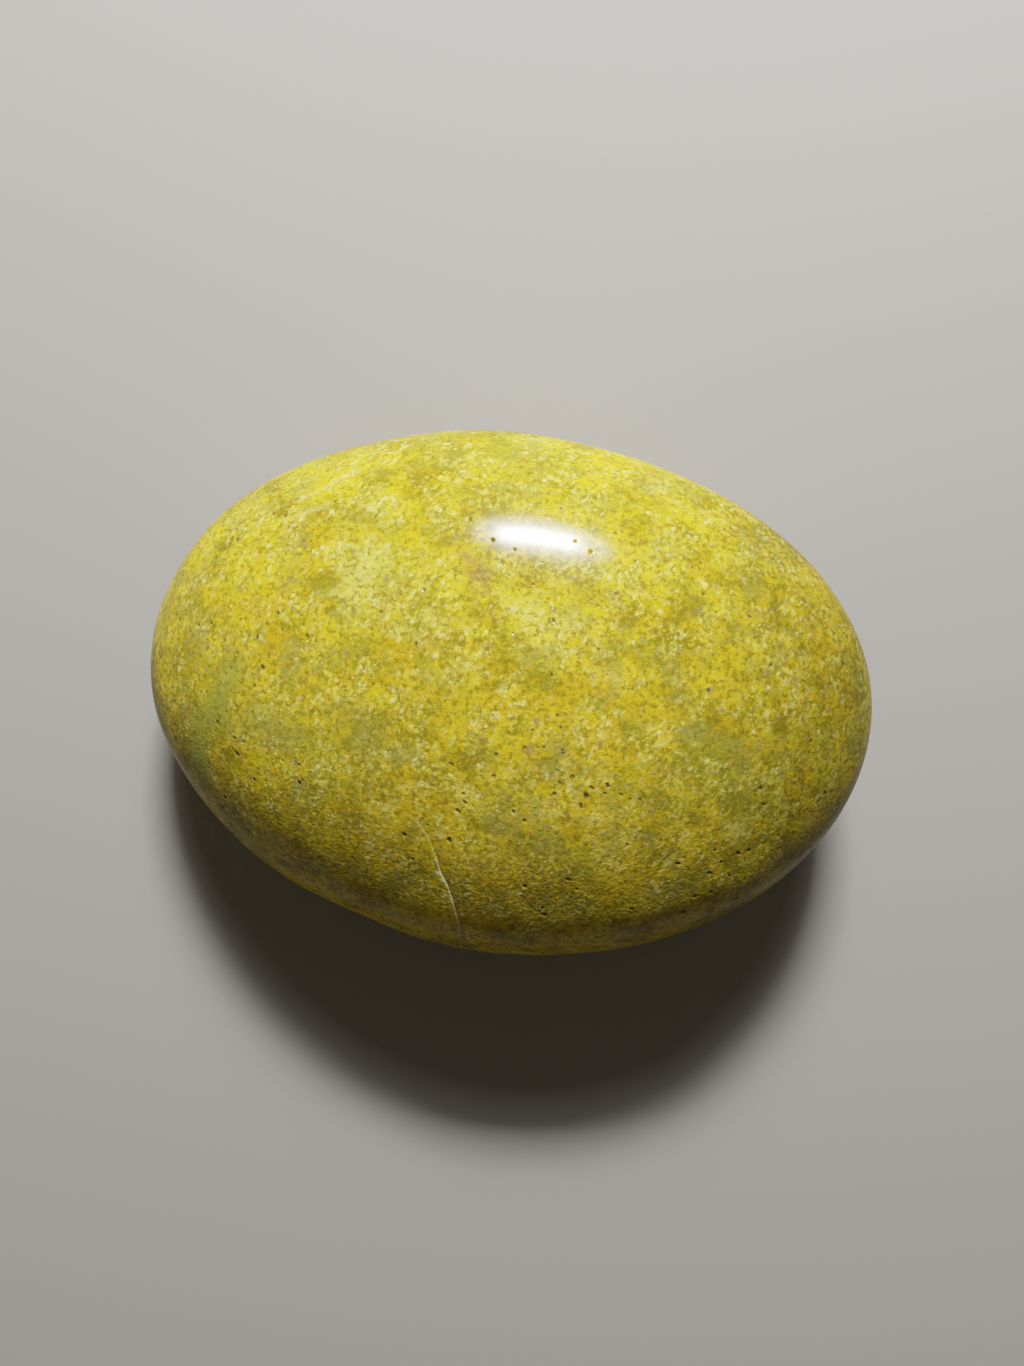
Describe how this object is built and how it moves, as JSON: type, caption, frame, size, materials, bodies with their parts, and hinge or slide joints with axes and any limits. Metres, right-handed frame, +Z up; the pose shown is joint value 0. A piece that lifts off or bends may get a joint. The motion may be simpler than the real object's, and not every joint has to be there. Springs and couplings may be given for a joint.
{
  "type": "opal palm stone",
  "caption": "Smooth flattened oval stone, domed above and gently bellied below, to hold in the palm or set down as an ornament.",
  "frame": {"origin": "under the middle of the outline's box, on the surface that the stone rests on", "axes": "+X along the stone's length, +Y across its width, +Z up through the crown"},
  "size_m": [0.0752, 0.054, 0.0274],
  "materials": {
    "polished_opal": "polished"
  },
  "bodies": {
    "root": {"palm_stone": "polished_opal"}
  },
  "joints": []
}
